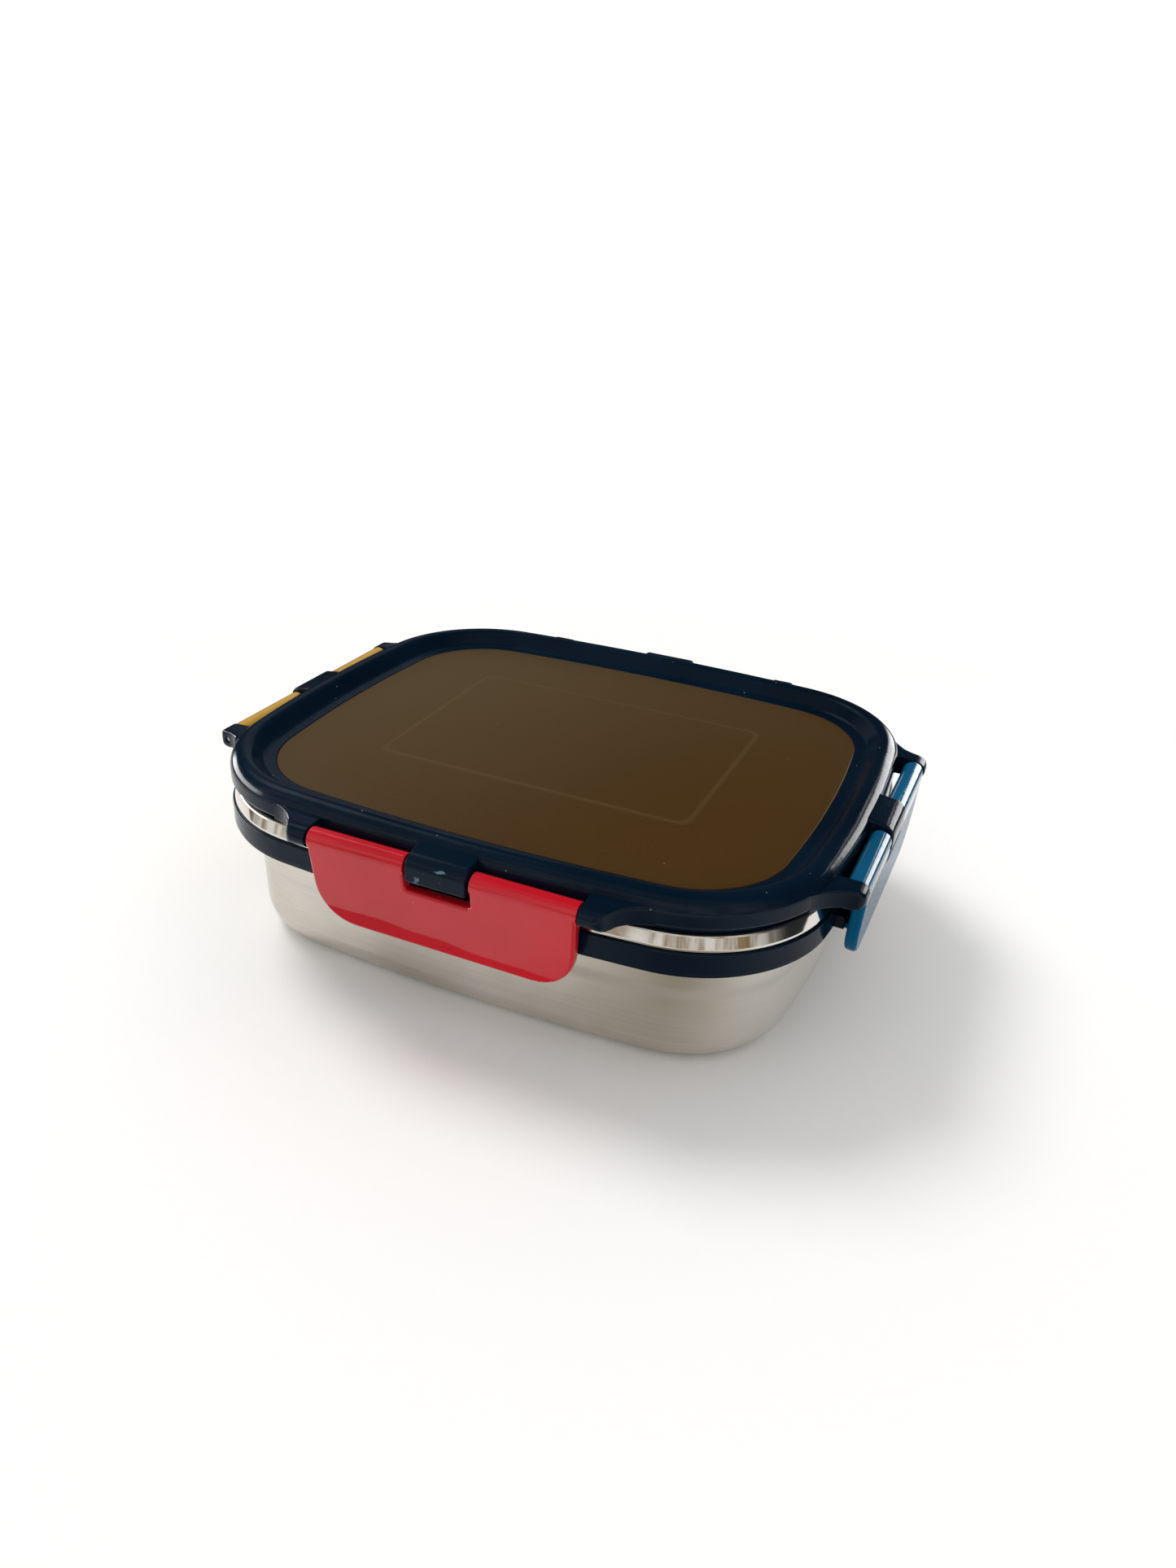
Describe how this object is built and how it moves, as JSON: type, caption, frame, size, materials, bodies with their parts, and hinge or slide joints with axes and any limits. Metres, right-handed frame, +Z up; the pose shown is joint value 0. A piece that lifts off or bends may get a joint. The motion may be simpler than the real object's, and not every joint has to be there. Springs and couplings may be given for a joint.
{
  "type": "lunch box",
  "caption": "Rectangular steel lunch box with rounded corners, a dark plastic lid with a tinted window, and a coloured hinged latch on each side that hooks under the collar.",
  "frame": {"origin": "middle of the base, on the table", "axes": "+X along the length towards the blue latch, +Y towards the back latch, +Z up"},
  "size_m": [0.1996, 0.1696, 0.0565],
  "materials": {
    "steel": "brushed walls, polished flange",
    "dark_plastic": "gloss",
    "window": "satin, tinted",
    "seal": "soft matt",
    "red_plastic": "gloss",
    "blue_plastic": "gloss",
    "green_plastic": "gloss",
    "yellow_plastic": "gloss",
    "pin_steel": "drawn wire"
  },
  "bodies": {
    "tray": {"steel_tray": "steel", "collar_ring": "dark_plastic"},
    "lid": {"lid_frame": "dark_plastic", "lid_window": "window", "lid_seal": "seal", "hinge_pin_front": "pin_steel", "hinge_pin_right": "pin_steel", "hinge_pin_back": "pin_steel", "hinge_pin_left": "pin_steel"},
    "front_latch": {"latch_front": "red_plastic"},
    "right_latch": {"latch_right": "blue_plastic"},
    "back_latch": {"latch_back": "green_plastic"},
    "left_latch": {"latch_left": "yellow_plastic"}
  },
  "joints": [
    {"name": "lid_lift", "type": "slide", "parent": "tray", "child": "lid", "axis": [0, 0, 1], "range_m": [0, 0.08]},
    {"name": "front_latch_swing", "type": "hinge", "parent": "lid", "child": "front_latch", "pos_m": [0, -0.0815, 0.0499], "axis": [-1, 0, 0], "range_deg": [0, 160]},
    {"name": "right_latch_swing", "type": "hinge", "parent": "lid", "child": "right_latch", "pos_m": [0.0965, 0, 0.0499], "axis": [0, -1, 0], "range_deg": [0, 160]},
    {"name": "back_latch_swing", "type": "hinge", "parent": "lid", "child": "back_latch", "pos_m": [0, 0.0815, 0.0499], "axis": [1, 0, 0], "range_deg": [0, 160]},
    {"name": "left_latch_swing", "type": "hinge", "parent": "lid", "child": "left_latch", "pos_m": [-0.0965, 0, 0.0499], "axis": [0, 1, 0], "range_deg": [0, 160]}
  ]
}
